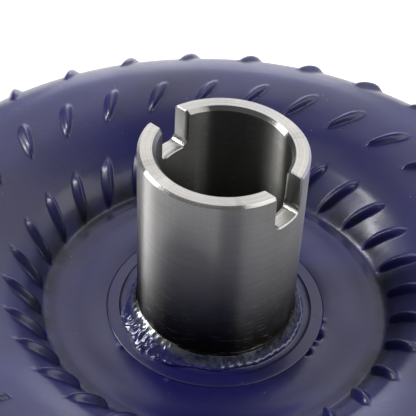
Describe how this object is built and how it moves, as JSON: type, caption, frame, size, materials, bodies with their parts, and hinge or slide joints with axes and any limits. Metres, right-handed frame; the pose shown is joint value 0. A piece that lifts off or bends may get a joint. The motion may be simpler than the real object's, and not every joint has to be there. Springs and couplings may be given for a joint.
{
  "type": "torque converter",
  "caption": "Torque converter with a welded steel housing, slotted pump drive hub, bolt pads, and an inner turbine and stator on a one-way clutch.",
  "frame": {"origin": "centre of the crankshaft pilot's end face, on the converter's axis", "axes": "+Z along the axis from the engine side to the gearbox side; +X through one of the pump hub's two drive notches"},
  "size_m": [0.269, 0.2712, 0.1387],
  "materials": {
    "housing_paint": "semi-gloss dark indigo paint",
    "flange_paint": "dark indigo paint over machined steel",
    "ground_steel": "ground and fine-turned",
    "weld_metal": "as welded, partly painted",
    "turned_steel": "turned",
    "plug_steel": "black oxide",
    "pressed_steel": "as pressed, oiled",
    "hardened_steel": "hardened and ground",
    "cast_aluminium": "die cast",
    "bronze": "turned",
    "cap_steel": "turned",
    "spring_steel": "blued",
    "bearing_steel": "ground"
  },
  "bodies": {
    "housing": {"impeller_shell": "housing_paint", "pump_hub": "ground_steel", "hub_flange": "flange_paint", "hub_weld": "weld_metal", "flange_weld": "weld_metal", "impeller_vanes": "pressed_steel", "impeller_core_ring": "pressed_steel", "front_cover": "housing_paint", "crank_pilot": "turned_steel", "pilot_weld": "weld_metal", "mounting_pads": "housing_paint", "pad_welds": "weld_metal", "seam_weld": "weld_metal", "drain_plug": "plug_steel", "balance_weight": "housing_paint", "front_thrust_washer": "bronze", "rear_bearing_pump_race": "bearing_steel"},
    "turbine": {"turbine_shell": "pressed_steel", "turbine_vanes": "pressed_steel", "turbine_core_ring": "pressed_steel", "turbine_hub": "hardened_steel", "turbine_rivets": "pressed_steel", "middle_bearing_turbine_race": "bearing_steel"},
    "stator": {"stator_wheel": "cast_aluminium", "clutch_cam": "hardened_steel", "clutch_rollers": "bearing_steel", "clutch_springs": "spring_steel", "stator_front_cap": "cap_steel", "stator_rear_cap": "cap_steel", "stator_front_snap_ring": "spring_steel", "stator_rear_snap_ring": "spring_steel", "middle_bearing_stator_race": "bearing_steel", "rear_bearing_stator_race": "bearing_steel"},
    "clutch_race": {"clutch_inner_race": "hardened_steel"},
    "rear_cage": {"rear_bearing_cage": "bearing_steel", "rear_bearing_needles": "bearing_steel"},
    "middle_cage": {"middle_bearing_cage": "bearing_steel", "middle_bearing_needles": "bearing_steel"}
  },
  "joints": [
    {"name": "turbine_spin", "type": "hinge", "parent": "housing", "child": "turbine", "pos_m": [0, 0, 0], "axis": [0, 0, 1], "continuous": true},
    {"name": "stator_spin", "type": "hinge", "parent": "housing", "child": "stator", "pos_m": [0, 0, 0], "axis": [0, 0, 1], "continuous": true},
    {"name": "clutch_race_spin", "type": "hinge", "parent": "stator", "child": "clutch_race", "pos_m": [0, 0, 0], "axis": [0, 0, 1], "continuous": true},
    {"name": "rear_cage_spin", "type": "hinge", "parent": "housing", "child": "rear_cage", "pos_m": [0, 0, 0], "axis": [0, 0, 1], "continuous": true},
    {"name": "middle_cage_spin", "type": "hinge", "parent": "rear_cage", "child": "middle_cage", "pos_m": [0, 0, 0], "axis": [0, 0, 1], "continuous": true}
  ],
  "couplings": [
    {"joint": "rear_cage_spin", "follows": "stator_spin", "ratio": 0.5},
    {"joint": "middle_cage_spin", "follows": "turbine_spin", "ratio": 0.5}
  ]
}
